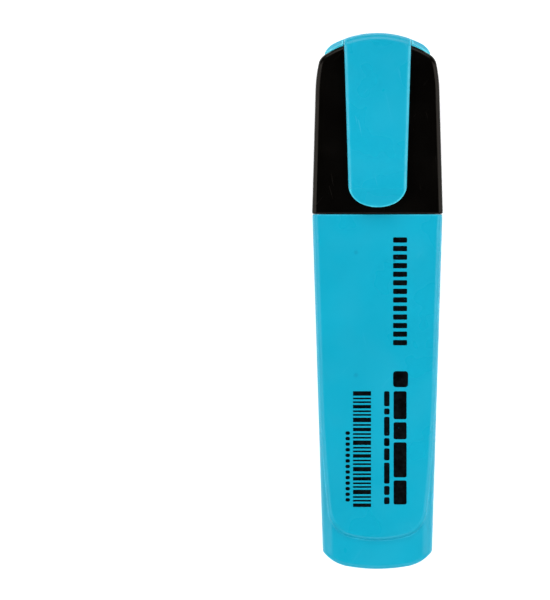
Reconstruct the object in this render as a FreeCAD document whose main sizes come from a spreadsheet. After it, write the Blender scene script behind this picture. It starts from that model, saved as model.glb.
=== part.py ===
import FreeCAD, Part
import math
import os
import re
import Sketcher

# A flat, capped highlighter pen lying on its back.
# X runs across the pen to the right, Y along it from the tail to the cap, Z up out of the clip side.
# The origin is under the middle of the whole pen, on the surface it lies on. All sizes are in mm.

SIZES = [
    # the whole pen
    ("barrel_length", 70.8, "seam to the tip of the domed tail"),
    ("cap_length", 36.2, "seam to the top of the crown"),
    ("pen_width", 26.0, "across the barrel at the seam"),
    ("pen_thickness", 14.0, "front panel face to back panel face, and the cap's thickness"),
    # the barrel
    ("tail_taper", 2.1, "how much narrower the tail is than the seam, on each side"),
    ("tail_rise", 3.5, "height of the domed tail, tip to side corners"),
    ("tail_dome_radius", 34.0, "middle arc of the domed tail"),
    ("barrel_wall", 1.3, "wall of the barrel"),
    ("barrel_corner", 2.2, "rounding of the barrel's long edges"),
    ("tail_edge", 0.9, "rounding round the domed tail"),
    ("cavity_corner", 1.6, "inner corners of the barrel"),
    ("panel_proud", 0.7, "how far a raised panel stands out of the barrel"),
    ("panel_slope", 35.0, "lean of the panel's sloping edge, in degrees"),
    ("panel_edge", 0.8, "rounding where the slope meets the panel's face"),
    ("panel_margin", 0.3, "barrel left beside a panel at the seam"),
    ("panel_waist", 0.39, "barrel left beside a panel halfway along"),
    ("panel_end_margin", 1.05, "barrel left beside a panel at the foot of its sides"),
    ("panel_turn", 11.5, "tail's tip to the foot of a panel's sides"),
    ("panel_end", 6.65, "tail's tip to the ends of the arc across a panel's foot"),
    ("panel_end_radius", 21.4, "arc across a panel's foot"),
    ("mouth_edge", 0.25, "rounding round the barrel's mouth"),
    ("rib_width", 1.0, "ribs that hold the ink reservoir"),
    ("rib_pitch", 5.5, "rib to rib"),
    # the black nose
    ("flange_height", 2.0, "band that stands out of the barrel's mouth"),
    ("skirt_length", 7.0, "part of the nose pressed into the barrel"),
    ("skirt_wall", 1.2, "wall of the skirt"),
    ("fit_gap", 0.05, "gap between pieces that stay together"),
    ("trumpet_step", 1.25, "ledge between the band and the trumpet, at the sides"),
    ("trumpet_step_deep", 0.95, "the same ledge, front and back"),
    ("trumpet_height", 15.4, "seam to the foot of the collar"),
    ("neck_width", 7.6, "trumpet's neck, side to side"),
    ("neck_inset", 1.5, "skirt to the trumpet's neck, front and back"),
    ("collar_width", 7.3, "faceted collar, side to side"),
    ("collar_flat", 3.3, "front flat of the collar"),
    ("collar_height", 4.1, "collar, foot to top"),
    ("collar_inset", 0.15, "neck to the collar's flat, front and back"),
    ("lip_edge", 0.3, "rounding of the band's lip"),
    ("collar_edge", 0.25, "rounding of the collar's top"),
    ("bore_corner", 0.6, "inner corners of the nose's hollow"),
    # the nib
    ("nib_width", 5.5, "chisel nib, side to side"),
    ("nib_thickness", 3.6, "chisel nib, front to back"),
    ("nib_reach", 26.0, "seam to the nib's long corner"),
    ("nib_slant", 1.2, "long corner above the short corner"),
    ("nib_edge_width", 4.2, "writing edge, side to side"),
    ("nib_edge_thickness", 1.0, "writing edge, front to back"),
    ("nib_tail", 9.0, "nib below the seam"),
    ("nib_corner", 0.25, "rounding of the writing edge"),
    # the ink reservoir
    ("reservoir_depth", 1.0, "top of the reservoir below the seam"),
    ("reservoir_end_gap", 0.6, "reservoir above the corners of the tail"),
    ("film_wall", 0.2, "film round the reservoir"),
    ("film_side_gap", 0.4, "film to the barrel's hollow at the sides"),
    ("film_face_gap", 0.15, "film to the nose's skirt, front and back"),
    # the cap
    ("seam_gap", 0.1, "gap left between cap and barrel"),
    ("slide_gap", 0.08, "gap between the cap and the nose band"),
    ("cap_edge", 0.9, "rounding of the cap's long edges"),
    ("cap_mouth_edge", 0.3, "rounding round the cap's mouth"),
    ("cavity_depth", 28.3, "depth of the cap's hollow"),
    ("cavity_taper", 0.8, "narrowing of the cap's hollow on each side"),
    ("inner_cap_wall", 0.9, "wall of the sealing sleeve"),
    ("inner_cap_start", 13.2, "seam to the open end of the sealing sleeve"),
    ("seal_gap", 0.12, "gap between the sealing sleeve and the nose's neck"),
    ("mouth_straight", 3.0, "straight part of the cap's hollow at its mouth"),
    ("cap_proud", 0.05, "cap wider than the barrel at the seam, on each side"),
    ("shoulder_drop", 7.07, "crown's ends down to where the shoulders start"),
    ("shoulder_inset", 0.62, "cap narrower there than the barrel's mouth, on each side"),
    ("turn_drop", 1.83, "crown's ends down to where the shoulders turn in"),
    ("turn_inset", 1.22, "cap narrower there than the barrel's mouth, on each side"),
    ("crown_inset", 2.5, "crown narrower than the pen on each side"),
    ("crown_arch", 1.84, "radius of the crown's middle arc over half its width"),
    ("crown_end", 0.4, "height of the crown at its two ends"),
    ("crown_band", 1.35, "crown above the middle of the cap shell"),
    ("shell_arch", 1.9, "radius of the cap shell's top arc over half the crown's width"),
    ("crown_bevel", 1.4, "bevel round the crown's front and back"),
    ("crown_face_inset", 0.5, "crown thinner than the cap, front and back"),
    ("spigot_width", 9.0, "spigot that holds the crown in the shell"),
    ("spigot_depth", 5.0, "spigot, front to back"),
    ("spigot_length", 2.9, "spigot below the shell's top"),
    ("spigot_corner", 0.45, "corners of the spigot"),
    # the clip
    ("clip_width", 13.4, "clip at its root"),
    ("clip_end_width", 11.6, "clip where its round end starts"),
    ("clip_length", 34.8, "crown peak to the clip's round end"),
    ("clip_round", 4.0, "length of the clip's round end"),
    ("clip_ramp", 3.7, "length of the sloping face at the clip's end"),
    ("clip_ramp_drop", 0.8, "fall of that face"),
    ("clip_thickness", 1.5, "thickness of the clip"),
    ("clip_space", 1.6, "space between the clip and the cap's face"),
    ("bead_length", 5.4, "bead under the clip's end that grips cloth"),
    ("bead_start", 1.6, "clip's end to the bead"),
    ("bead_radius", 3.45, "arc of the bead"),
    ("clip_bend", 2.4, "radius of the clip's round root"),
    ("clip_shoulder", 1.8, "rounding where the clip goes over the crown"),
    ("clip_edge", 0.6, "rounding of the clip's side edges"),
    ("hinge_gap", 0.12, "gap round the root of the clip"),
]

# Sizes that follow from the ones above, written as spreadsheet formulas.
DERIVED = [
    ("half_length", "(barrel_length + cap_length) / 2"),
    ("tail_y", "-half_length"),
    ("seam_y", "barrel_length - half_length"),
    ("top_y", "half_length"),
    ("middle_z", "pen_thickness / 2"),
    ("mouth_half", "pen_width / 2"),
    ("tail_half", "mouth_half - tail_taper"),
    ("corner_y", "tail_y + tail_rise"),
    ("base_half", "middle_z - panel_proud"),
    ("cavity_half", "mouth_half - barrel_wall"),
    ("cavity_half_deep", "base_half - barrel_wall"),
    ("skirt_half", "cavity_half - fit_gap"),
    ("skirt_half_deep", "cavity_half_deep - fit_gap"),
    ("skirt_corner", "cavity_corner - fit_gap"),
    ("skirt_inner", "skirt_half - skirt_wall"),
    ("skirt_inner_deep", "skirt_half_deep - skirt_wall"),
    ("neck_half", "neck_width / 2"),
    ("neck_half_deep", "skirt_half_deep - neck_inset"),
    ("trumpet_half", "skirt_half - trumpet_step"),
    ("trumpet_half_deep", "skirt_half_deep - trumpet_step_deep"),
    ("collar_y", "seam_y + trumpet_height"),
    ("collar_top_y", "collar_y + collar_height"),
    ("collar_half_deep", "neck_half_deep - collar_inset"),
    ("film_half", "tail_half - barrel_wall - film_side_gap"),
    ("film_half_deep", "skirt_inner_deep - film_face_gap"),
    ("core_half", "film_half - film_wall"),
    ("core_half_deep", "film_half_deep - film_wall"),
    ("reservoir_y", "seam_y - reservoir_depth"),
    ("reservoir_end_y", "corner_y + reservoir_end_gap"),
    ("cap_y", "seam_y + seam_gap"),
    ("cap_cavity_half", "skirt_half + slide_gap"),
    ("cap_cavity_half_deep", "skirt_half_deep + slide_gap"),
    ("cap_cavity_y", "seam_y + cavity_depth"),
    ("seal_half", "neck_half + seal_gap"),
    ("seal_half_deep", "neck_half_deep + seal_gap"),
    ("crown_half", "mouth_half - crown_inset"),
    ("crown_dome_radius", "crown_arch * crown_half"),
    ("shell_top_radius", "shell_arch * crown_half"),
    ("shell_top_y", "top_y - crown_band"),
    ("shell_end_y", "shell_top_y - shell_top_radius + sqrt(shell_top_radius^2 - crown_half^2)"),
    ("knuckle_y", "top_y - clip_bend"),
    ("knuckle_z", "pen_thickness + clip_space + clip_thickness - clip_bend"),
    ("clip_face_z", "pen_thickness + clip_space + clip_thickness"),
    ("clip_under_z", "pen_thickness + clip_space"),
    ("clip_end_y", "top_y - clip_length"),
]

doc = FreeCAD.newDocument("Highlighter")
sizes = doc.addObject("Spreadsheet::Sheet", "Sizes")
size_names = {entry[0] for entry in SIZES + DERIVED}
rule_sheets = []
rule_cells = {}


def fill_sheet():
    """Writes the named sizes, then the named formulas, one row each."""
    row = 1
    for name, value, meaning in SIZES:
        sizes.set("A%d" % row, meaning)
        sizes.set("B%d" % row, str(value))
        sizes.setAlias("B%d" % row, name)
        row += 1
    for name, rule in DERIVED:
        sizes.set("B%d" % row, "=" + rule)
        sizes.setAlias("B%d" % row, name)
        row += 1
    doc.recompute()


def new_body(name):
    """Adds a body, and a sheet for the rules that its own sketches and features use."""
    body = doc.addObject("PartDesign::Body", name)
    body.Label = name
    rule_sheets.append(doc.addObject("Spreadsheet::Sheet", name + "_rules"))
    rule_cells.clear()
    doc.recompute()
    return body


def cell(rule):
    """Gives the sheet cell that holds a rule such as 'mouth_half - 1', made on first use."""
    if rule not in rule_cells:
        sheet = rule_sheets[-1]
        address = "A%d" % (len(rule_cells) + 1)
        formula = re.sub("[a-z_]+", lambda word: full_name(word.group()), rule)
        sheet.set(address, "=" + formula)
        sheet.recompute()
        rule_cells[rule] = address
    return rule_cells[rule]


def full_name(word):
    """Points a size's name at the sheet of sizes and leaves other words, such as sqrt, alone."""
    return "Sizes." + word if word in size_names else word


def amount(rule):
    address = cell(rule)
    return float(rule_sheets[-1].get(address))


def bind(thing, setting, rule):
    """Ties one setting of a document object to a rule in its body's sheet."""
    address = cell(rule)
    thing.setExpression(setting, rule_sheets[-1].Name + "." + address)


def new_sketch(body, name, plane, place):
    """Adds a sketch on one of the body's own planes, moved along that plane's axis to a place."""
    sketch = body.newObject("Sketcher::SketchObject", name)
    for datum in body.Origin.OriginFeatures:
        if datum.Role == plane:
            sketch.AttachmentSupport = [(datum, "")]
    sketch.MapMode = "FlatFace"
    if plane == "XZ_Plane":
        bind(sketch, "AttachmentOffset.Base.z", "-(" + place + ")")
    else:
        bind(sketch, "AttachmentOffset.Base.z", place)
    return sketch


def arc_between(start, end, radius, bend):
    """Makes the short arc from start to end that turns to the left or to the right."""
    chord = end - start
    half = chord.Length / 2
    reach = math.sqrt(max(radius ** 2 - half ** 2, 0.0))
    side = FreeCAD.Vector(-chord.y, chord.x, 0)
    side.normalize()
    if bend == "right":
        side = side * -1
    centre = start + chord * 0.5 + side * reach
    circle = Part.Circle(centre, FreeCAD.Vector(0, 0, 1), radius)
    first, last = (start, end) if bend == "left" else (end, start)
    first_angle = math.atan2(first.y - centre.y, first.x - centre.x)
    last_angle = math.atan2(last.y - centre.y, last.x - centre.x)
    return Part.ArcOfCircle(circle, first_angle, last_angle)


def outline(sketch, corners):
    """Draws a closed outline. A corner is (x, y), or (x, y, radius, bend) if an arc leaves it."""
    points = [FreeCAD.Vector(amount(corner[0]), amount(corner[1]), 0) for corner in corners]
    ends = []
    for index, corner in enumerate(corners):
        start = points[index]
        end = points[(index + 1) % len(corners)]
        if len(corner) == 2:
            edge = sketch.addGeometry(Part.LineSegment(start, end))
            ends.append((edge, 1, 2))
        else:
            edge = sketch.addGeometry(arc_between(start, end, amount(corner[2]), corner[3]))
            ends.append((edge, 1, 2) if corner[3] == "left" else (edge, 2, 1))
    for index, corner in enumerate(corners):
        edge, start_point, end_point = ends[index]
        next_edge, next_start, next_end = ends[(index + 1) % len(corners)]
        sketch.addConstraint(Sketcher.Constraint("Coincident", edge, end_point, next_edge, next_start))
        for kind, rule in (("DistanceX", corner[0]), ("DistanceY", corner[1])):
            limit = Sketcher.Constraint(kind, -1, 1, edge, start_point, amount(rule))
            bind(sketch, "Constraints[%d]" % sketch.addConstraint(limit), rule)
        if len(corner) == 4:
            limit = Sketcher.Constraint("Radius", edge, amount(corner[2]))
            bind(sketch, "Constraints[%d]" % sketch.addConstraint(limit), corner[2])


def rounded_section(sketch, half_width, half_depth, corner):
    """Draws a rounded rectangle round the pen's axis, in a plane across the pen."""
    right = "(%s)" % half_width
    front = "(%s)" % half_depth
    inner_x = "(%s - (%s))" % (right, corner)
    inner_z = "(%s - (%s))" % (front, corner)
    outline(sketch, [
        (right, "middle_z - " + inner_z),
        (right, "middle_z + " + inner_z, corner, "left"),
        (inner_x, "middle_z + " + front),
        ("-" + inner_x, "middle_z + " + front, corner, "left"),
        ("-" + right, "middle_z + " + inner_z),
        ("-" + right, "middle_z - " + inner_z, corner, "left"),
        ("-" + inner_x, "middle_z - " + front),
        (inner_x, "middle_z - " + front, corner, "left"),
    ])


def box_outline(sketch, left, right, low, high):
    outline(sketch, [(left, low), (right, low), (right, high), (left, high)])


def section_at(body, name, place, half_width, half_depth, corner):
    sketch = new_sketch(body, name, "XZ_Plane", place)
    rounded_section(sketch, half_width, half_depth, corner)
    return sketch


def extrude(body, kind, name, sketch, length, direction, taper=None):
    """Adds a Pad or Pocket; direction is forward, backward or both, along the sketch's normal."""
    feature = body.newObject("PartDesign::" + kind, name)
    feature.Profile = sketch
    bind(feature, "Length", length)
    if direction == "both":
        feature.SideType = "Symmetric"
    else:
        feature.Reversed = (direction == "forward") == (kind == "Pocket")
    if taper:
        bind(feature, "TaperAngle", taper)
    doc.recompute()
    return feature


def pad(body, name, sketch, length, direction="both", taper=None):
    return extrude(body, "Pad", name, sketch, length, direction, taper)


def pocket(body, name, sketch, length, direction="both"):
    """Cuts a sketch out of the body and makes sure that it cut something."""
    before = body.Shape.Volume
    feature = extrude(body, "Pocket", name, sketch, length, direction)
    if body.Shape.Volume > before - 0.01:
        raise RuntimeError(name + " cuts nothing")
    return feature


def loft(body, kind, name, sections, ruled=False):
    feature = body.newObject("PartDesign::" + kind, name)
    feature.Profile = sections[0]
    feature.Sections = sections[1:]
    feature.Ruled = ruled
    doc.recompute()
    return feature


def round_edges(body, name, radius, test):
    """Rounds every edge of the body that passes the test."""
    base = body.Tip
    chosen = []
    for index, edge in enumerate(base.Shape.Edges):
        if test(edge):
            chosen.append("Edge%d" % (index + 1))
    feature = body.newObject("PartDesign::Fillet", name)
    feature.Base = (base, chosen)
    bind(feature, "Radius", radius)
    doc.recompute()
    return feature


def near(first, second):
    return abs(first - second) < 0.01


def flat_at(edge, axis, value):
    """Tells whether an edge lies in the plane where x, y or z has the value."""
    box = edge.BoundBox
    low = {"x": box.XMin, "y": box.YMin, "z": box.ZMin}[axis]
    high = {"x": box.XMax, "y": box.YMax, "z": box.ZMax}[axis]
    return near(low, value) and near(high, value)


def end_arc_radius(run, rise, sine):
    """Rule for the radius of an arc over a run and rise that starts at a slope with this sine."""
    cosine = "sqrt(1 - (%s)^2)" % sine
    return "((%s)^2 + (%s)^2) / (2 * ((%s) * %s - (%s) * (%s)))" % (run, rise, rise, cosine, run, sine)


def line_sine(run, rise):
    """Rule for the sine of the slope of a straight line over a run and rise."""
    return "((%s) / sqrt((%s)^2 + (%s)^2))" % (rise, run, rise)


def arc_end_sine(run, rise, sine):
    """Rule for the sine of the slope where that arc ends, so that the next one can go on from it."""
    return "((%s) + (%s) / (%s))" % (sine, run, end_arc_radius(run, rise, sine))


def build_barrel():
    """The hollow barrel with its domed tail, two raised panels and ribs for the reservoir."""
    body = new_body("barrel")
    dome_half = "(tail_half * 0.55)"
    dome_drop = "(tail_dome_radius - sqrt(tail_dome_radius^2 - %s^2))" % dome_half
    side_radius = end_arc_radius("tail_half - " + dome_half, "tail_rise - " + dome_drop,
                                 dome_half + " / tail_dome_radius")
    sketch = new_sketch(body, "barrel_outline", "XY_Plane", "middle_z")
    outline(sketch, [
        ("mouth_half", "seam_y"),
        ("-mouth_half", "seam_y"),
        ("-tail_half", "corner_y", side_radius, "left"),
        ("-" + dome_half, "tail_y + " + dome_drop, "tail_dome_radius", "left"),
        (dome_half, "tail_y + " + dome_drop, side_radius, "left"),
        ("tail_half", "corner_y"),
    ])
    pad(body, "barrel_block", sketch, "2 * base_half")
    low = amount("middle_z - base_half")
    high = amount("middle_z + base_half")
    corner_y = amount("corner_y")

    def on_long_edge(edge):
        return (flat_at(edge, "z", low) or flat_at(edge, "z", high)) and edge.BoundBox.YLength > 30

    round_edges(body, "barrel_long_edges", "barrel_corner", on_long_edge)

    def on_tail_edge(edge):
        return edge.BoundBox.YMax < corner_y + 0.01 and not flat_at(edge, "y", corner_y)

    round_edges(body, "barrel_tail_edges", "tail_edge", on_tail_edge)
    build_panels(body)
    mouth = new_sketch(body, "mouth_trim_outline", "XY_Plane", "middle_z")
    box_outline(mouth, "-pen_width", "pen_width", "seam_y", "seam_y + 6")
    pocket(body, "mouth_trim", mouth, "2 * pen_thickness")
    seam_y = amount("seam_y")
    round_edges(body, "barrel_mouth_edge", "mouth_edge", lambda edge: flat_at(edge, "y", seam_y))
    hollow_barrel(body)
    return body


def build_panels(body):
    """The U-shaped raised panels on the front and the back, with sloping edges."""
    end_half = "(tail_half - panel_end_margin)"
    foot_half = "(tail_half * 0.578)"
    waist_half = "((mouth_half + tail_half) / 2 - panel_waist)"
    side = ("barrel_length / 2 - panel_turn", waist_half + " - " + end_half,
            line_sine("barrel_length / 2", "mouth_half - panel_margin - " + waist_half))
    side_radius = end_arc_radius(*side)
    turn_radius = end_arc_radius("panel_turn - panel_end", end_half + " - " + foot_half,
                                 arc_end_sine(*side))
    corners = [
        ("mouth_half - panel_margin + 0.05", "seam_y + 4"),
        ("-(mouth_half - panel_margin + 0.05)", "seam_y + 4"),
        ("-(mouth_half - panel_margin)", "seam_y"),
        ("-" + waist_half, "tail_y + barrel_length / 2", side_radius, "left"),
        ("-" + end_half, "tail_y + panel_turn", turn_radius, "left"),
        ("-" + foot_half, "tail_y + panel_end", "panel_end_radius", "left"),
        (foot_half, "tail_y + panel_end", turn_radius, "left"),
        (end_half, "tail_y + panel_turn", side_radius, "left"),
        (waist_half, "tail_y + barrel_length / 2"),
        ("mouth_half - panel_margin", "seam_y"),
    ]
    foot = new_sketch(body, "panel_foot_outline", "XY_Plane", "middle_z")
    outline(foot, corners)
    pad(body, "panel_foot", foot, "2 * base_half + 0.2")
    slope_height = "panel_proud - 0.1"
    front = new_sketch(body, "front_panel_outline", "XY_Plane", "middle_z + base_half + 0.1")
    outline(front, corners)
    pad(body, "front_panel", front, slope_height, "forward", "-panel_slope")
    back = new_sketch(body, "back_panel_outline", "XY_Plane", "middle_z - base_half - 0.1")
    outline(back, corners)
    pad(body, "back_panel", back, slope_height, "backward", "-panel_slope")
    top_z = amount("pen_thickness")
    far_y = amount("seam_y + 1")

    def on_panel_face(edge):
        return (flat_at(edge, "z", top_z) or flat_at(edge, "z", 0)) and edge.BoundBox.YMin < far_y

    round_edges(body, "panel_edges", "panel_edge", on_panel_face)


def hollow_barrel(body):
    """The straight socket for the nose, the tapered hollow behind it and the reservoir ribs."""
    socket_y = "seam_y - skirt_length - 1"
    tail_end = "corner_y + 0.2"
    mouth = section_at(body, "socket_section", "seam_y", "cavity_half", "cavity_half_deep",
                       "cavity_corner")
    pocket(body, "nose_socket", mouth, "skirt_length + 1", "forward")
    upper = section_at(body, "hollow_upper", socket_y, "cavity_half - 0.3", "cavity_half_deep",
                       "cavity_corner")
    lower = section_at(body, "hollow_lower", tail_end, "tail_half - barrel_wall",
                       "cavity_half_deep", "cavity_corner")
    loft(body, "SubtractiveLoft", "barrel_hollow", [upper, lower])
    ribs = new_sketch(body, "rib_outlines", "XZ_Plane", tail_end)
    for place in (-1, 0, 1):
        left = "%d * rib_pitch - rib_width / 2" % place
        right = "%d * rib_pitch + rib_width / 2" % place
        for sign in ("+", "-"):
            inner = "middle_z %s (film_half_deep + fit_gap)" % sign
            outer = "middle_z %s (cavity_half_deep + 0.4)" % sign
            if sign == "+":
                box_outline(ribs, left, right, inner, outer)
            else:
                box_outline(ribs, left, right, outer, inner)
    pad(body, "reservoir_ribs", ribs, "barrel_length - tail_rise - skirt_length - 2", "backward")


def build_nose():
    """The black nose: skirt, band, concave trumpet and faceted collar, hollow inside."""
    body = new_body("nose_section")
    band_top = "seam_y + flange_height"
    band = section_at(body, "band_section", band_top, "skirt_half", "skirt_half_deep",
                      "skirt_corner")
    pad(body, "band_and_skirt", band, "flange_height + skirt_length", "forward")
    lip_y = amount(band_top)
    round_edges(body, "band_lip", "lip_edge", lambda edge: flat_at(edge, "y", lip_y))
    stations = [(2.0, 1.03, 1.0), (2.6, 0.97, 0.97), (5.3, 0.667, 0.73), (8.1, 0.348, 0.45),
                (11.2, 0.091, 0.18), (13.1, 0.015, 0.04), (15.4, 0.0, 0.0)]
    sections = []
    for index, (height, spread, spread_deep) in enumerate(stations):
        half_width = "neck_half + (trumpet_half - neck_half) * %s" % spread
        half_depth = "neck_half_deep + (trumpet_half_deep - neck_half_deep) * %s" % spread_deep
        place = "seam_y + trumpet_height * %s / 15.4" % height
        corner = "min(%s; %s) * 0.88" % (half_width, half_depth)
        sections.append(section_at(body, "trumpet_section_%d" % (index + 1), place,
                                   half_width, half_depth, corner))
    loft(body, "AdditiveLoft", "trumpet", sections)
    collar = new_sketch(body, "collar_outline", "XZ_Plane", "collar_y")
    flat_half = "(collar_flat / 2)"
    wide_half = "(collar_width / 2)"
    side_half = "(collar_half_deep * 0.42)"
    corners = []
    for sign_x, sign_z, order in (("", "+", 0), ("-", "+", 1), ("-", "-", 0), ("", "-", 1)):
        pair = [(sign_x + wide_half, "middle_z %s %s" % (sign_z, side_half)),
                (sign_x + flat_half, "middle_z %s collar_half_deep" % sign_z)]
        corners.extend(reversed(pair) if order else pair)
    outline(collar, corners)
    pad(body, "collar", collar, "collar_height", "backward")
    top_y = amount("collar_top_y")
    round_edges(body, "collar_top_edge", "collar_edge", lambda edge: flat_at(edge, "y", top_y))
    hollow_nose(body)
    return body


def hollow_nose(body):
    """The hollow of the skirt, the funnel above it and the slot that holds the nib."""
    foot_y = "seam_y - skirt_length"
    skirt = section_at(body, "skirt_hollow_section", foot_y, "skirt_inner", "skirt_inner_deep",
                       "bore_corner")
    pocket(body, "skirt_hollow", skirt, "skirt_length + 0.6", "backward")
    lower = section_at(body, "funnel_lower", "seam_y + 0.6", "skirt_inner - 1.2",
                       "skirt_inner_deep - 0.5", "bore_corner")
    upper = section_at(body, "funnel_upper", "seam_y + 10", "neck_half - 0.5",
                       "neck_half_deep - 1.2", "bore_corner")
    loft(body, "SubtractiveLoft", "funnel", [lower, upper])
    slot = section_at(body, "nib_slot_section", "collar_top_y", "nib_width / 2 + fit_gap / 2",
                      "nib_thickness / 2 + fit_gap / 2", "fit_gap")
    pocket(body, "nib_slot", slot, "collar_height + trumpet_height - 1", "forward")


def build_nib():
    """The chisel nib: a slanted writing edge, bevelled front and back, with a long tail."""
    body = new_body("nib")
    half = "(nib_width / 2)"
    edge_half = "(nib_edge_width / 2)"
    sketch = new_sketch(body, "nib_outline", "XY_Plane", "middle_z")
    outline(sketch, [
        ("-" + half, "seam_y - nib_tail"),
        (half, "seam_y - nib_tail"),
        (half, "collar_top_y + 0.3", "nib_reach", "left"),
        (edge_half, "seam_y + nib_reach"),
        ("-" + edge_half, "seam_y + nib_reach - nib_slant", "nib_reach", "left"),
        ("-" + half, "collar_top_y + 0.3"),
    ])
    pad(body, "nib_block", sketch, "nib_thickness")
    for side, sign in (("front", "+"), ("back", "-")):
        face = "middle_z %s nib_thickness / 2" % sign
        beyond = "middle_z %s nib_thickness" % sign
        edge = "middle_z %s nib_edge_thickness / 2" % sign
        bevel = new_sketch(body, side + "_bevel_outline", "YZ_Plane", "0")
        outline(bevel, [
            ("collar_top_y + 0.9", face),
            ("seam_y + nib_reach", edge),
            ("seam_y + nib_reach + 1", edge),
            ("seam_y + nib_reach + 1", beyond),
            ("collar_top_y + 0.9", beyond),
        ])
        pocket(body, side + "_bevel", bevel, "2 * nib_width")
    edge_y = amount("seam_y + nib_reach - nib_slant - 0.01")
    round_edges(body, "nib_writing_edge", "nib_corner", lambda edge: edge.BoundBox.YMin > edge_y)
    return body


def build_reservoir_core():
    """The fibre ink reservoir, slotted for the nib's tail."""
    body = new_body("reservoir_core")
    section = section_at(body, "core_section", "reservoir_y", "core_half", "core_half_deep",
                         "core_half_deep * 0.9")
    pad(body, "core_rod", section, "reservoir_y - reservoir_end_y", "forward")
    slot = section_at(body, "core_slot_section", "reservoir_y", "nib_width / 2 + fit_gap / 2",
                      "nib_thickness / 2 + fit_gap / 2", "fit_gap")
    pocket(body, "core_slot", slot, "nib_tail - reservoir_depth + fit_gap", "forward")
    return body


def build_reservoir_film():
    """The thin film wrapped round the reservoir, open at both ends."""
    body = new_body("reservoir_film")
    outer = section_at(body, "film_outer", "reservoir_y - 0.5", "film_half", "film_half_deep",
                       "film_half_deep * 0.9")
    pad(body, "film_tube", outer, "reservoir_y - reservoir_end_y - 1", "forward")
    inner = section_at(body, "film_inner", "reservoir_y - 0.5", "core_half", "core_half_deep",
                       "core_half_deep * 0.9")
    pocket(body, "film_bore", inner, "reservoir_y - reservoir_end_y - 1", "forward")
    return body


def build_cap_shell():
    """The black cap: rounded shoulders, an arched top, a tapered hollow and a notch for the clip."""
    body = new_body("cap_shell")
    half = "(mouth_half + cap_proud)"
    shoulder = ("(mouth_half - shoulder_inset)", "shell_end_y - shoulder_drop")
    turn = ("(mouth_half - turn_inset)", "shell_end_y - turn_drop")
    first = ("shoulder_drop - turn_drop", "turn_inset - shoulder_inset",
             line_sine("shell_end_y - shoulder_drop - cap_y", "cap_proud + shoulder_inset"))
    shoulder_radius = end_arc_radius(*first)
    turn_radius = end_arc_radius("turn_drop", turn[0] + " - crown_half", arc_end_sine(*first))
    sketch = new_sketch(body, "shell_outline", "XY_Plane", "middle_z")
    outline(sketch, [
        ("-" + half, "cap_y"),
        (half, "cap_y"),
        (shoulder[0], shoulder[1], shoulder_radius, "left"),
        (turn[0], turn[1], turn_radius, "left"),
        ("crown_half", "shell_end_y", "shell_top_radius", "left"),
        ("-crown_half", "shell_end_y", turn_radius, "left"),
        ("-" + turn[0], turn[1], shoulder_radius, "left"),
        ("-" + shoulder[0], shoulder[1]),
    ])
    pad(body, "shell_block", sketch, "pen_thickness")
    mouth_y = amount("cap_y")
    high = amount("pen_thickness")

    def on_long_edge(edge):
        return (flat_at(edge, "z", 0) or flat_at(edge, "z", high)) and not flat_at(edge, "y", mouth_y)

    round_edges(body, "shell_long_edges", "cap_edge", on_long_edge)
    round_edges(body, "shell_mouth_edge", "cap_mouth_edge", lambda edge: flat_at(edge, "y", mouth_y))
    mouth = section_at(body, "shell_mouth_section", "cap_y", "cap_cavity_half",
                       "cap_cavity_half_deep", "cavity_corner")
    pocket(body, "shell_mouth", mouth, "mouth_straight", "backward")
    lower = section_at(body, "shell_hollow_lower", "cap_y + mouth_straight", "cap_cavity_half",
                       "cap_cavity_half_deep", "cavity_corner")
    upper = section_at(body, "shell_hollow_upper", "cap_cavity_y", "cap_cavity_half - cavity_taper",
                       "cap_cavity_half_deep - cavity_taper / 2", "cavity_corner")
    loft(body, "SubtractiveLoft", "shell_hollow", [lower, upper])
    slot = section_at(body, "crown_slot_section", "shell_top_y", "spigot_width / 2 + fit_gap",
                      "spigot_depth / 2 + fit_gap", "spigot_corner + fit_gap")
    pocket(body, "crown_slot", slot, "spigot_length + 0.1 + fit_gap", "forward")
    cut_clip_notch(body)
    return body


def cut_clip_notch(body):
    """Cuts the round notch that the clip's root turns in."""
    notch = new_sketch(body, body.Label + "_notch", "YZ_Plane", "0")
    radius = "clip_bend + hinge_gap"
    outline(notch, [
        ("knuckle_y + " + radius, "knuckle_z", radius, "left"),
        ("knuckle_y", "knuckle_z + " + radius, radius, "left"),
        ("knuckle_y - (%s)" % radius, "knuckle_z", radius, "left"),
        ("knuckle_y", "knuckle_z - (%s)" % radius, radius, "left"),
    ])
    pocket(body, body.Label + "_clip_notch", notch, "clip_width + 2 * hinge_gap")


def crown_corners(half, dome_y, end_height):
    """The crown's outline: domed above, hollow below to sit on the shell."""
    arch = "sqrt(shell_top_radius^2 - (%s)^2)" % half
    foot_y = "(shell_top_y - shell_top_radius + %s + fit_gap / 2)" % arch
    end_y = "(%s + %s)" % (foot_y, end_height)
    rise = "(%s - %s)" % (dome_y, end_y)
    dome_half = "((%s) * 0.825)" % half
    drop = "(crown_dome_radius - sqrt(crown_dome_radius^2 - %s^2))" % dome_half
    end_radius = end_arc_radius("%s - %s" % (half, dome_half), "%s - %s" % (rise, drop),
                                dome_half + " / crown_dome_radius")
    return [
        (half, foot_y),
        (half, end_y, end_radius, "left"),
        (dome_half, "%s - %s" % (dome_y, drop), "crown_dome_radius", "left"),
        ("-" + dome_half, "%s - %s" % (dome_y, drop), end_radius, "left"),
        ("-(%s)" % half, end_y),
        ("-(%s)" % half, foot_y, "shell_top_radius", "right"),
    ]


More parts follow.
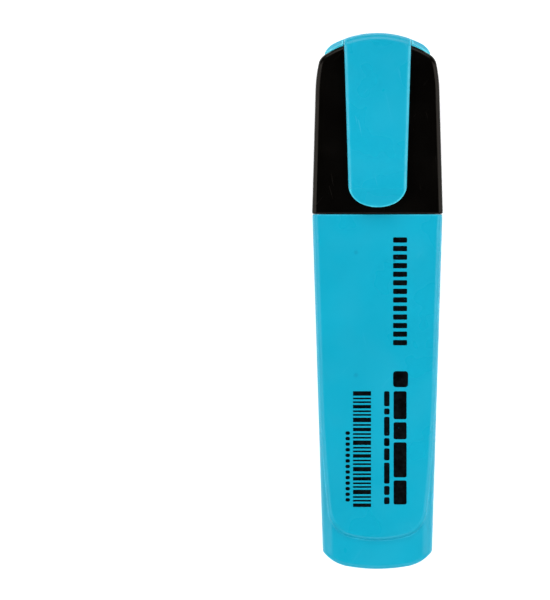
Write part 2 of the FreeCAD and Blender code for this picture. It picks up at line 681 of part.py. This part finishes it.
def build_cap_crown():
    """The blue domed insert on top of the cap, bevelled front and back, with a spigot below."""
    body = new_body("cap_crown")
    face_half = "(middle_z - crown_face_inset)"
    flat_half = "(%s - crown_bevel)" % face_half
    full = crown_corners("crown_half", "top_y", "crown_end")
    small = crown_corners("(crown_half - 1.3)", "(top_y - 0.9)", "crown_end / 2")
    sketch = new_sketch(body, "crown_outline", "XY_Plane", "middle_z")
    outline(sketch, full)
    pad(body, "crown_block", sketch, "2 * " + flat_half)
    for side, sign in (("front", "+"), ("back", "-")):
        inner = new_sketch(body, side + "_crown_inner", "XY_Plane", "middle_z %s %s" % (sign, flat_half))
        outline(inner, full)
        outer = new_sketch(body, side + "_crown_outer", "XY_Plane",
                           "middle_z %s %s" % (sign, face_half))
        outline(outer, small)
        loft(body, "AdditiveLoft", side + "_crown_bevel", [inner, outer], True)
    spigot = section_at(body, "spigot_section", "shell_top_y + 0.3", "spigot_width / 2",
                        "spigot_depth / 2", "spigot_corner")
    pad(body, "crown_spigot", spigot, "spigot_length + 0.3", "forward")
    cut_clip_notch(body)
    return body


def build_cap_clip():
    """The clip: a round root over the crown, a long arm and a bead that grips a pocket's edge."""
    body = new_body("cap_clip")
    tip_y = "clip_end_y"
    inner_meet = "(knuckle_y - sqrt(clip_bend^2 - (clip_bend - clip_thickness)^2))"
    sketch = new_sketch(body, "clip_profile", "YZ_Plane", "0")
    outline(sketch, [
        (tip_y, "clip_under_z"),
        (tip_y + " + bead_start", "clip_under_z", "bead_radius", "left"),
        (tip_y + " + bead_start + bead_length", "clip_under_z"),
        (inner_meet, "clip_under_z", "clip_bend", "left"),
        ("knuckle_y", "knuckle_z - clip_bend", "clip_bend", "left"),
        ("top_y", "knuckle_z"),
        ("top_y", "clip_face_z"),
        (tip_y + " + clip_ramp", "clip_face_z"),
        (tip_y, "clip_face_z - clip_ramp_drop"),
    ])
    pad(body, "clip_strip", sketch, "clip_width + 1")
    trim_clip(body)
    face_z = amount("clip_face_z")
    low_y = amount("top_y - clip_bend")
    side_x = amount("clip_end_width / 2 - 0.5")

    def on_shoulder(edge):
        return flat_at(edge, "z", face_z) and edge.BoundBox.YMin > low_y

    round_edges(body, "clip_shoulder_edge", "clip_shoulder", on_shoulder)

    def on_either_side(edge):
        box = edge.BoundBox
        return flat_at(edge, "z", face_z) and box.YLength > 5 and max(box.XMax, -box.XMin) > side_x

    round_edges(body, "clip_side_edges", "clip_edge", on_either_side)
    return body


def trim_clip(body):
    """Cuts the strip to its tapered outline with a round end, and to the dome of the crown."""
    root = "(clip_width / 2)"
    end = "(clip_end_width / 2)"
    flat = "(clip_end_width * 0.276)"
    bottom_radius = "(clip_end_width * 0.69)"
    drop = "(%s - sqrt(%s^2 - %s^2))" % (bottom_radius, bottom_radius, flat)
    side_radius = end_arc_radius("%s - %s" % (end, flat), "clip_round - " + drop,
                                 "%s / %s" % (flat, bottom_radius))
    dome_drop = "(crown_dome_radius - sqrt(crown_dome_radius^2 - %s^2))" % root
    trim = new_sketch(body, "clip_outline", "XY_Plane", "clip_face_z")
    box_outline(trim, "-clip_width", "clip_width", "clip_end_y - 3", "top_y + 3")
    outline(trim, [
        ("-" + flat, "clip_end_y + " + drop, bottom_radius, "left"),
        (flat, "clip_end_y + " + drop, side_radius, "left"),
        (end, "clip_end_y + clip_round"),
        (root, "top_y - " + dome_drop, "crown_dome_radius", "left"),
        ("-" + root, "top_y - " + dome_drop),
        ("-" + end, "clip_end_y + clip_round", side_radius, "left"),
    ])
    pocket(body, "clip_trim", trim, "4 * pen_thickness")


def build_inner_cap():
    """The sealing sleeve inside the cap that closes round the nose's neck."""
    body = new_body("inner_cap")
    start = "seam_y + inner_cap_start"
    length = "cavity_depth - inner_cap_start"
    seal_corner = "min(seal_half; seal_half_deep) * 0.84"
    outer = section_at(body, "sleeve_outer", start, "seal_half + inner_cap_wall",
                       "seal_half_deep + inner_cap_wall", seal_corner + " + inner_cap_wall")
    pad(body, "sleeve", outer, length, "backward")
    inner = section_at(body, "sleeve_inner", start, "seal_half", "seal_half_deep", seal_corner)
    pocket(body, "sleeve_bore", inner, length + " - 1", "backward")
    return body


def build_all():
    fill_sheet()
    return [build_barrel(), build_nose(), build_nib(), build_reservoir_core(),
            build_reservoir_film(), build_cap_shell(), build_cap_crown(), build_cap_clip(),
            build_inner_cap()]


def write_parts(bodies):
    """Stops if anything is in error, then writes one STEP file for each piece."""
    doc.recompute()
    for thing in doc.Objects:
        if "Invalid" in thing.State or "Error" in thing.State:
            raise RuntimeError(thing.Name + " is in error")
    os.makedirs("parts", exist_ok=True)
    for body in bodies:
        shape = body.Shape
        if shape.isNull() or not shape.isValid() or len(shape.Solids) != 1:
            raise RuntimeError(body.Label + " is not one valid solid")
        shape.exportStep("parts/%s.step" % body.Label)
        box = shape.BoundBox
        print("%-15s %9.2f mm3  X %.2f %.2f  Y %.2f %.2f  Z %.2f %.2f" % (
            body.Label, shape.Volume, box.XMin, box.XMax, box.YMin, box.YMax, box.ZMin, box.ZMax))


write_parts(build_all())
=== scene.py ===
import math

import bmesh
import bpy
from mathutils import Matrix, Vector


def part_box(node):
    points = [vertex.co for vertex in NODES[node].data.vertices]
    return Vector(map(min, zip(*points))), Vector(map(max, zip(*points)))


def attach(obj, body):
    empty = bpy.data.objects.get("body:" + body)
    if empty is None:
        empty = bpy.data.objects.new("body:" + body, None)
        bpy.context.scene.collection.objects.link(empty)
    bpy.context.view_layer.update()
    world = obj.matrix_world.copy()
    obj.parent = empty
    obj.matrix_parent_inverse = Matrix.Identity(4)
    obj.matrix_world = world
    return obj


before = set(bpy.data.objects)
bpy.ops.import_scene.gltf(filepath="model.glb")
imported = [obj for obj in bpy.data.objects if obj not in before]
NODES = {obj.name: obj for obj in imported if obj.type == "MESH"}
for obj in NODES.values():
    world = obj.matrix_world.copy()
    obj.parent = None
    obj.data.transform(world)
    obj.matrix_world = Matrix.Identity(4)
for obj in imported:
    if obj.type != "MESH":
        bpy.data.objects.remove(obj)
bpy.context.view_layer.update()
MM = 0.001


# ---------------------------------------------------------------- node helpers

class Graph:
    """A material's node tree, with short calls to add and join nodes."""

    def __init__(self, name):
        self.material = bpy.data.materials.new(name)
        self.material.use_nodes = True
        self.tree = self.material.node_tree
        self.tree.nodes.clear()
        self.shader = self.tree.nodes.new("ShaderNodeBsdfPrincipled")
        output = self.tree.nodes.new("ShaderNodeOutputMaterial")
        self.link(self.shader.outputs["BSDF"], output.inputs["Surface"])
        self.coords = self.tree.nodes.new("ShaderNodeTexCoord").outputs["Object"]

    def link(self, source, target):
        self.tree.links.new(source, target)

    def link_or_set(self, value, target):
        """Joins a socket to the target, or sets a constant on it."""
        if hasattr(value, "links"):
            self.link(value, target)
        else:
            target.default_value = value

    def feed(self, source, name):
        """Joins a socket to one of the shader's own sockets."""
        self.link(source, self.shader.inputs[name])

    def node(self, kind, **settings):
        made = self.tree.nodes.new(kind)
        for key, value in settings.items():
            setattr(made, key, value)
        return made

    def set(self, **values):
        """Sets constant values on the shader's own sockets."""
        for key, value in values.items():
            self.shader.inputs[key.replace("_", " ")].default_value = value

    def scaled(self, stretch):
        mapping = self.node("ShaderNodeMapping")
        mapping.inputs["Scale"].default_value = stretch
        self.link(self.coords, mapping.inputs["Vector"])
        return mapping.outputs["Vector"]

    def noise(self, scale, detail, stretch=(1, 1, 1), distortion=0.0):
        made = self.node("ShaderNodeTexNoise")
        made.inputs["Scale"].default_value = scale
        made.inputs["Detail"].default_value = detail
        made.inputs["Distortion"].default_value = distortion
        self.link(self.scaled(stretch), made.inputs["Vector"])
        return made.outputs["Fac"]

    def ramp(self, source, low, dark, high, light):
        """Goes from dark, where the source is at low, to light, where it is at high."""
        made = self.node("ShaderNodeValToRGB")
        first, last = made.color_ramp.elements
        first.position = low
        first.color = dark
        last.position = high
        last.color = light
        self.link(source, made.inputs["Fac"])
        return made.outputs["Color"]

    def spread(self, source, low, high, out_low, out_high):
        made = self.node("ShaderNodeMapRange")
        for name, value in (("From Min", low), ("From Max", high),
                            ("To Min", out_low), ("To Max", out_high)):
            made.inputs[name].default_value = value
        self.link(source, made.inputs["Value"])
        return made.outputs["Result"]

    def bump(self, sources, distance):
        """Chains bumps; sources is a list of (height, strength)."""
        normal = None
        for height, strength in sources:
            made = self.node("ShaderNodeBump")
            made.inputs["Strength"].default_value = strength
            made.inputs["Distance"].default_value = distance
            self.link(height, made.inputs["Height"])
            if normal:
                self.link(normal, made.inputs["Normal"])
            normal = made.outputs["Normal"]
        self.feed(normal, "Normal")


def mix(graph, factor, first, second):
    """Mixes two colours by a factor; each may be a socket or a constant."""
    made = graph.node("ShaderNodeMix", data_type="RGBA", blend_type="MIX")
    # The node has sockets for every data type: 6 and 7 in, and 2 out, are the colours.
    graph.link_or_set(factor, made.inputs["Factor"])
    graph.link_or_set(first, made.inputs[6])
    graph.link_or_set(second, made.inputs[7])
    return made.outputs[2]


def math_node(graph, operation, first, second=0.0):
    made = graph.node("ShaderNodeMath", operation=operation)
    graph.link_or_set(first, made.inputs[0])
    graph.link_or_set(second, made.inputs[1])
    return made.outputs[0]


# ---------------------------------------------------------------- wear, and painted edge highlight

SCRATCH_STRETCH = (1.0, 14.0, 4.0)
SCRATCH_EDGE = 0.03
SPECK_EDGE = 0.6
FLAT_COSINE = 0.995
EDGE_COSINE = 0.90


def scratches(graph, scale, turn, threshold):
    """Thin marks that run one way: stretched noise, cut just above a threshold."""
    mapping = graph.node("ShaderNodeMapping", vector_type="TEXTURE")
    mapping.inputs["Rotation"].default_value = (0.0, 0.0, math.radians(turn))
    mapping.inputs["Scale"].default_value = SCRATCH_STRETCH
    graph.link(graph.coords, mapping.inputs["Vector"])
    made = graph.node("ShaderNodeTexNoise")
    made.inputs["Scale"].default_value = scale
    made.inputs["Detail"].default_value = 2.0
    graph.link(mapping.outputs["Vector"], made.inputs["Vector"])
    return graph.spread(made.outputs["Fac"], threshold, threshold + SCRATCH_EDGE, 0.0, 1.0)


def specks(graph, scale, size, share):
    """Small round specks in a few of the cells of a Voronoi pattern."""
    cells = graph.node("ShaderNodeTexVoronoi")
    cells.inputs["Scale"].default_value = scale
    graph.link(graph.coords, cells.inputs["Vector"])
    near_middle = graph.spread(cells.outputs["Distance"], size * SPECK_EDGE, size, 1.0, 0.0)
    split = graph.node("ShaderNodeSeparateColor")
    graph.link(cells.outputs["Color"], split.inputs["Color"])
    chosen = math_node(graph, "LESS_THAN", split.outputs["Red"], share)
    return math_node(graph, "MULTIPLY", near_middle, chosen)


def worn_and_highlighted_edges(graph, width):
    """Factor that rises towards 1 along edges and is 0 on faces, broken up by noise; it lays on a
    lighter colour that is partly wear and partly painted highlight.
    """
    bevel = graph.node("ShaderNodeBevel", samples=4)
    bevel.inputs["Radius"].default_value = width
    geometry = graph.node("ShaderNodeNewGeometry")
    turned = graph.node("ShaderNodeVectorMath", operation="DOT_PRODUCT")
    graph.link(bevel.outputs["Normal"], turned.inputs[0])
    graph.link(geometry.outputs["True Normal"], turned.inputs[1])
    turn = graph.spread(turned.outputs["Value"], FLAT_COSINE, EDGE_COSINE, 0.0, 1.0)
    patches = graph.noise(scale=420, detail=3)
    broken = graph.spread(patches, 0.30, 0.60, 0.35, 1.0)
    return math_node(graph, "MULTIPLY", turn, broken)


# ---------------------------------------------------------------- moulded plastic

CLOUD_SCALE = 45
SMUDGE_SCALE = 120
GRAIN_SCALE = 3800
WAVE_SCALE = 28
WAVE_STRENGTH = 0.10
RELIEF = 0.03 * MM
DUST_SCALE = 300
DUST_SIZE = 0.08
DUST_SHARE = 0.03
DUST_STRENGTH = 0.5
SCRATCH_ROUGHNESS = 0.15


def moulded_plastic(name, dark, light, scratch_colour, speck_colour, edge_wear_and_highlight_colour, edge_width,
                    roughness, grain, scratch_strength):
    """Moulded plastic: cloudy colour, worn edges lightened with painted highlight, grain,
    scratches, smudges and dust specks.
    """
    graph = Graph(name)
    cloud = graph.noise(CLOUD_SCALE, detail=5)
    colour = graph.ramp(cloud, 0.32, dark, 0.68, light)
    # Lighter colour along the edges: partly wear, partly painted highlight where the edges catch
    # the light.
    colour = mix(graph, worn_and_highlighted_edges(graph, edge_width), colour, edge_wear_and_highlight_colour)
    first = scratches(graph, scale=1500, turn=14, threshold=0.72)
    second = scratches(graph, scale=1900, turn=-38, threshold=0.73)
    marks = math_node(graph, "MAXIMUM", first, second)
    faint = math_node(graph, "MULTIPLY", marks, scratch_strength)
    colour = mix(graph, faint, colour, scratch_colour)
    dots = specks(graph, DUST_SCALE, DUST_SIZE, DUST_SHARE)
    colour = mix(graph, math_node(graph, "MULTIPLY", dots, DUST_STRENGTH), colour, speck_colour)
    graph.feed(colour, "Base Color")
    smudge = graph.noise(SMUDGE_SCALE, detail=2)
    rough = graph.spread(smudge, 0.35, 0.65, roughness * 0.8, roughness * 1.2)
    scratched = math_node(graph, "MULTIPLY", marks, SCRATCH_ROUGHNESS)
    graph.feed(math_node(graph, "ADD", rough, scratched), "Roughness")
    wave = graph.noise(WAVE_SCALE, detail=2)
    fine = graph.noise(GRAIN_SCALE, detail=2)
    graph.bump([(wave, WAVE_STRENGTH), (fine, grain)], RELIEF)
    return graph


SINK_MARK_X = -4.3 * MM
SINK_MARKS_BELOW_SEAM = (7.6 * MM, 32.1 * MM)
SINK_MARK_CORE = 0.2 * MM
SINK_MARK_EDGE = 0.6 * MM
SINK_MARK_SHADE_STRENGTH = 0.35
SINK_MARK_SHADE_COLOUR = (0.001, 0.20, 0.33, 1)


def sink_mark_shade(graph):
    """Paints shade on two small round spots where ribs behind the front panel pulled it in: the
    darker colour is painted shade of the shallow dents.
    """
    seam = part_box("barrel")[1].y
    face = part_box("barrel")[1].z
    colour = graph.shader.inputs["Base Color"].links[0].from_socket
    for below_seam in SINK_MARKS_BELOW_SEAM:
        reach = graph.node("ShaderNodeVectorMath", operation="DISTANCE")
        graph.link(graph.coords, reach.inputs[0])
        reach.inputs[1].default_value = (SINK_MARK_X, seam - below_seam, face)
        shade_spot = graph.spread(reach.outputs["Value"], SINK_MARK_CORE, SINK_MARK_EDGE,
                            SINK_MARK_SHADE_STRENGTH, 0.0)
        # Painted shade: the dents' darkening is mixed into the colour.
        colour = mix(graph, shade_spot, colour, SINK_MARK_SHADE_COLOUR)
    graph.feed(colour, "Base Color")


def add_blue_depth(graph):
    """The blue plastic lets a little light in, and has a soft pale sheen."""
    graph.set(Subsurface_Weight=0.10, Subsurface_Scale=1.2 * MM, Subsurface_Radius=(0.15, 0.8, 1.0),
              Sheen_Weight=0.12, Sheen_Roughness=0.35, Sheen_Tint=(0.40, 0.95, 1.0, 1))


def barrel_blue():
    graph = moulded_plastic(
        "barrel_blue",
        dark=(0.002, 0.335, 0.488, 1), light=(0.004, 0.372, 0.538, 1),
        scratch_colour=(0.04, 0.46, 0.66, 1), speck_colour=(0.002, 0.11, 0.19, 1),
        # The lighter edge colour is partly wear and partly painted highlight on the barrel's
        # rounded edges.
        edge_wear_and_highlight_colour=(0.05, 0.58, 0.78, 1), edge_width=0.5 * MM,
        roughness=0.32, grain=0.10, scratch_strength=0.12)
    graph.set(Specular_IOR_Level=0.22)
    add_blue_depth(graph)
    sink_mark_shade(graph)
    return graph


def clip_blue():
    graph = moulded_plastic(
        "clip_blue",
        dark=(0.003, 0.337, 0.492, 1), light=(0.005, 0.372, 0.540, 1),
        scratch_colour=(0.06, 0.50, 0.70, 1), speck_colour=(0.002, 0.12, 0.20, 1),
        # The much lighter edge colour is mostly painted highlight on the clip's and crown's edges,
        # with some wear.
        edge_wear_and_highlight_colour=(0.12, 0.78, 0.90, 1), edge_width=0.7 * MM,
        roughness=0.28, grain=0.07, scratch_strength=0.10)
    graph.set(Specular_IOR_Level=0.26)
    add_blue_depth(graph)
    return graph


def cap_black():
    graph = moulded_plastic(
        "cap_black",
        dark=(0.0004, 0.0003, 0.0002, 1), light=(0.0009, 0.0007, 0.0005, 1),
        scratch_colour=(0.008, 0.007, 0.006, 1), speck_colour=(0.05, 0.048, 0.045, 1),
        edge_wear_and_highlight_colour=(0.004, 0.003, 0.002, 1), edge_width=0.3 * MM,
        roughness=0.22, grain=0.06, scratch_strength=0.12)
    graph.set(Specular_IOR_Level=0.14, Specular_Tint=(1.0, 0.90, 0.80, 1),
              Sheen_Weight=0.04, Sheen_Roughness=0.3, Sheen_Tint=(1.0, 0.86, 0.70, 1))
    return graph


def nose_black():
    graph = moulded_plastic(
        "nose_black",
        dark=(0.0016, 0.0014, 0.0012, 1), light=(0.0032, 0.0028, 0.0024, 1),
        scratch_colour=(0.025, 0.023, 0.021, 1), speck_colour=(0.05, 0.048, 0.045, 1),
        edge_wear_and_highlight_colour=(0.012, 0.010, 0.009, 1), edge_width=0.3 * MM,
        roughness=0.30, grain=0.08, scratch_strength=0.20)
    graph.set(Specular_IOR_Level=0.4)
    return graph


def inner_white():
    return moulded_plastic(
        "inner_cap_white",
        dark=(0.62, 0.62, 0.58, 1), light=(0.74, 0.74, 0.70, 1),
        scratch_colour=(0.80, 0.80, 0.78, 1), speck_colour=(0.3, 0.3, 0.3, 1),
        edge_wear_and_highlight_colour=(0.80, 0.80, 0.78, 1), edge_width=0.3 * MM,
        roughness=0.5, grain=0.12, scratch_strength=0.10)


# ---------------------------------------------------------------- print, nib and ink

def print_black():
    """Black print: slightly uneven ink with pinholes."""
    graph = Graph("print_black")
    cloud = graph.noise(scale=900, detail=4)
    colour = graph.ramp(cloud, 0.3, (0.0008, 0.0010, 0.0012, 1), 0.72, (0.003, 0.005, 0.006, 1))
    pinholes = specks(graph, scale=2600, size=0.16, share=0.04)
    plastic_below = (0.004, 0.20, 0.33, 1)
    colour = mix(graph, math_node(graph, "MULTIPLY", pinholes, 0.7), colour, plastic_below)
    graph.feed(colour, "Base Color")
    graph.feed(graph.spread(cloud, 0.3, 0.7, 0.20, 0.32), "Roughness")
    graph.bump([(cloud, 0.15)], 0.02 * MM)
    graph.set(Specular_IOR_Level=0.05)
    return graph


NIB_DARK_COLOUR = (0.001, 0.030, 0.210, 1)
NIB_DARK_STRENGTH = 0.8
NIB_DARK_START = 1.0 * MM
NIB_DARK_STOP = 1.5 * MM
NIB_DARK_HALF_WIDTH = 0.6 * MM
NIB_DARK_FADE_WIDTH = 1.9 * MM


def nib_felt():
    """Ink-soaked bonded fibre: fine strands along the nib, and darker colour along its middle
    towards the collar.
    """
    graph = Graph("nib_felt")
    strands = graph.noise(scale=2600, detail=4, stretch=(1.0, 0.06, 1.0))
    pores = graph.noise(scale=5200, detail=3)
    position = graph.node("ShaderNodeSeparateXYZ")
    graph.link(graph.coords, position.inputs["Vector"])
    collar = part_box("nose_section")[1].y
    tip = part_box("nib")[1].y
    along = graph.spread(position.outputs["Y"], collar - NIB_DARK_START, tip - NIB_DARK_STOP,
                         1.0, 0.0)
    from_middle = math_node(graph, "ABSOLUTE", position.outputs["X"])
    across = graph.spread(from_middle, NIB_DARK_HALF_WIDTH, NIB_DARK_FADE_WIDTH, 1.0, 0.0)
    # Darker along the middle of the nib, towards the collar.
    darker_middle = math_node(graph, "MULTIPLY", along, across)
    base = graph.ramp(strands, 0.3, (0.0015, 0.120, 0.520, 1), 0.7, (0.006, 0.230, 0.760, 1))
    darkened = math_node(graph, "MULTIPLY", darker_middle, NIB_DARK_STRENGTH)
    graph.feed(mix(graph, darkened, base, NIB_DARK_COLOUR), "Base Color")
    graph.feed(graph.spread(pores, 0.3, 0.7, 0.55, 0.80), "Roughness")
    graph.bump([(strands, 0.5), (pores, 0.4)], 0.08 * MM)
    graph.set(Sheen_Weight=0.15)
    return graph


def reservoir_fibre():
    """Fibre strands that run the length of the reservoir, soaked in ink."""
    graph = Graph("reservoir_fibre")
    strands = graph.noise(scale=1800, detail=4, stretch=(1.0, 0.03, 1.0))
    base = graph.ramp(strands, 0.3, (0.002, 0.10, 0.42, 1), 0.7, (0.01, 0.26, 0.70, 1))
    graph.feed(base, "Base Color")
    graph.feed(graph.spread(strands, 0.3, 0.7, 0.7, 0.9), "Roughness")
    graph.bump([(strands, 0.6)], 0.1 * MM)
    graph.set(Sheen_Weight=0.2)
    return graph


def reservoir_film():
    """Thin creased film, partly clear."""
    graph = Graph("reservoir_film")
    crease = graph.noise(scale=300, detail=4, stretch=(1.0, 0.3, 1.0), distortion=1.0)
    base = graph.ramp(crease, 0.3, (0.55, 0.66, 0.72, 1), 0.7, (0.72, 0.80, 0.85, 1))
    graph.feed(base, "Base Color")
    graph.feed(graph.spread(crease, 0.3, 0.7, 0.12, 0.25), "Roughness")
    graph.bump([(crease, 0.5)], 0.1 * MM)
    graph.set(Transmission_Weight=0.5, IOR=1.45)
    return graph


def paint_nodes():
    clip = clip_blue()
    finishes = {
        "barrel": barrel_blue(),
        "cap_crown": clip,
        "cap_clip": clip,
        "cap_shell": cap_black(),
        "nose_section": nose_black(),
        "nib": nib_felt(),
        "reservoir_core": reservoir_fibre(),
        "reservoir_film": reservoir_film(),
        "inner_cap": inner_white(),
    }
    for node, graph in finishes.items():
        for mesh_slot in NODES[node].material_slots:
            mesh_slot.material = graph.material


# ---------------------------------------------------------------- printed marks

# How far a mark stands above the barrel's face, and reaches below it.
PRINT_RAISE = 0.015 * MM
CORNER_STEPS = 4


def rounded_bar(mesh, left, right, low, high, corner):
    """Adds one flat printed bar with rounded corners, on the barrel's face."""
    face_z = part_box("barrel")[1].z
    ring = []
    centres = ((right - corner, high - corner, 0), (left + corner, high - corner, 90),
               (left + corner, low + corner, 180), (right - corner, low + corner, 270))
    for centre_x, centre_y, start in centres:
        for step in range(CORNER_STEPS + 1):
            angle = math.radians(start + step * 90 / CORNER_STEPS)
            x = centre_x + corner * math.cos(angle)
            y = centre_y + corner * math.sin(angle)
            ring.append(mesh.verts.new((x, y, face_z - PRINT_RAISE)))
    bottom = mesh.faces.new(ring)
    lifted = bmesh.ops.extrude_face_region(mesh, geom=[bottom])
    raised = [item for item in lifted["geom"] if isinstance(item, bmesh.types.BMVert)]
    bmesh.ops.translate(mesh, verts=raised, vec=(0, 0, 2 * PRINT_RAISE))


def mark_row(mesh, start, left, right, lengths, gap, corner):
    """A row of plain marks down the barrel, from start below the seam, all in millimetres."""
    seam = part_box("barrel")[1].y
    place = start
    for length in lengths:
        rounded_bar(mesh, left * MM, right * MM, seam - (place + length) * MM,
                    seam - place * MM, corner * MM)
        place += length + gap


BAR_COUNT = 13
BAR_PITCH = 22.2 / BAR_COUNT
BAR_LENGTH = 0.62 * BAR_PITCH
LOWER_MARKS_START = 35.3
BLOCKS = [5.6, 3.4, 7.0, 4.8]
DASHES = [3.0, 1.2, 3.8, 1.6, 2.4, 4.2, 1.8, 1.4]
STRIPES = [0.9, 0.35, 0.35, 0.7, 0.35, 0.35, 0.9, 0.35, 0.7, 0.35, 0.35, 0.9, 0.35, 0.35,
           0.7, 0.35, 0.35, 0.9, 0.35, 0.7, 0.35, 0.35, 0.9, 0.35, 0.35, 0.7]
DOTS = [0.7] * 13


def build_print():
    """Plain marks where the barrel's print is: bars, blocks, dashes, stripes and dots."""
    made = bmesh.new()
    mark_row(made, start=4.6, left=3.1, right=5.9, lengths=[BAR_LENGTH] * BAR_COUNT,
             gap=BAR_PITCH - BAR_LENGTH, corner=0.2)
    mark_row(made, start=31.3, left=3.1, right=6.1, lengths=[3.2], gap=0.0, corner=0.6)
    mark_row(made, LOWER_MARKS_START, left=3.2, right=5.8, lengths=BLOCKS, gap=0.6, corner=0.35)
    mark_row(made, LOWER_MARKS_START, left=1.3, right=2.4, lengths=DASHES, gap=0.45, corner=0.3)
    mark_row(made, LOWER_MARKS_START, left=-4.9, right=-1.3, lengths=STRIPES, gap=0.38,
             corner=0.05)
    mark_row(made, start=43.3, left=-6.4, right=-5.5, lengths=DOTS, gap=0.41, corner=0.3)
    mesh = bpy.data.meshes.new("print_marks")
    bmesh.ops.recalc_face_normals(made, faces=made.faces)
    made.to_mesh(mesh)
    made.free()
    piece = bpy.data.objects.new("print_marks", mesh)
    bpy.context.collection.objects.link(piece)
    mesh.materials.append(print_black().material)
    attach(piece, "pen")


# ---------------------------------------------------------------- stage, light, camera

FLOOR_HALF = 1.5
# Just below the pen, so that its flat back and the floor don't share a plane.
FLOOR_Z = -0.05 * MM
FLOOR_GLOW = 0.45


def build_floor():
    """A white floor that glows a little, so that it stays white round the pen."""
    mesh = bpy.data.meshes.new("floor")
    corners = [(-FLOOR_HALF, -FLOOR_HALF, FLOOR_Z), (FLOOR_HALF, -FLOOR_HALF, FLOOR_Z),
               (FLOOR_HALF, FLOOR_HALF, FLOOR_Z), (-FLOOR_HALF, FLOOR_HALF, FLOOR_Z)]
    mesh.from_pydata(corners, [], [(0, 1, 2, 3)])
    floor = bpy.data.objects.new("floor", mesh)
    bpy.context.collection.objects.link(floor)
    graph = Graph("floor_white")
    cloud = graph.noise(scale=8, detail=3)
    graph.feed(graph.ramp(cloud, 0.3, (0.90, 0.90, 0.90, 1), 0.7, (0.93, 0.93, 0.93, 1)),
               "Base Color")
    graph.set(Roughness=0.9, Emission_Strength=FLOOR_GLOW, Emission_Color=(1, 1, 1, 1))
    floor.data.materials.append(graph.material)


# Each softbox: its name, place, width and height in metres, and power in watts.
SOFTBOXES = (
    ("left_softbox", (-0.50, 0.0, 0.42), (0.4, 0.8), 2.9),
    ("right_softbox", (0.50, 0.0, 0.42), (0.4, 0.8), 2.9),
    ("far_softbox", (0.0, 0.62, 0.46), (0.8, 0.4), 3.4),
    ("near_softbox", (0.0, -0.62, 0.46), (0.8, 0.4), 2.9),
)
SOFTBOX_TARGET = (0, 0, 0.01)
SKY_STRENGTH = 0.04


def area_light(name, place, size, power):
    """A rectangular softbox that faces the pen."""
    data = bpy.data.lights.new(name, "AREA")
    data.shape = "RECTANGLE"
    data.size, data.size_y = size
    data.energy = power
    light = bpy.data.objects.new(name, data)
    light.location = place
    facing = Vector(SOFTBOX_TARGET) - Vector(place)
    light.rotation_euler = facing.to_track_quat("-Z", "Y").to_euler()
    bpy.context.collection.objects.link(light)


def build_lights():
    world = bpy.data.worlds.new("studio")
    world.use_nodes = True
    background = world.node_tree.nodes["Background"]
    background.inputs["Color"].default_value = (1, 1, 1, 1)
    background.inputs["Strength"].default_value = SKY_STRENGTH
    bpy.context.scene.world = world
    for name, place, size, power in SOFTBOXES:
        area_light(name, place, size, power)
    bpy.context.scene.view_settings.view_transform = "Standard"


# The camera looks straight down from far off, and frames 110 by 120 mm round the pen.
FRAME_HEIGHT = 0.120
PEN_RIGHT_OF_MIDDLE = 0.02046
PEN_ABOVE_MIDDLE = -0.0002
CAMERA_DISTANCE = 3.0
PEN_MID_HEIGHT = 0.007
SENSOR_HEIGHT = 24


def build_camera():
    data = bpy.data.cameras.new("camera")
    camera = bpy.data.objects.new("camera", data)
    bpy.context.collection.objects.link(camera)
    data.sensor_fit = "VERTICAL"
    data.sensor_height = SENSOR_HEIGHT
    data.lens = SENSOR_HEIGHT * CAMERA_DISTANCE / FRAME_HEIGHT
    data.clip_start = 0.01
    camera.location = (-PEN_RIGHT_OF_MIDDLE, -PEN_ABOVE_MIDDLE, CAMERA_DISTANCE + PEN_MID_HEIGHT)
    camera.rotation_euler = (0, 0, 0)
    bpy.context.scene.camera = camera


paint_nodes()
build_print()
build_floor()
build_lights()
build_camera()
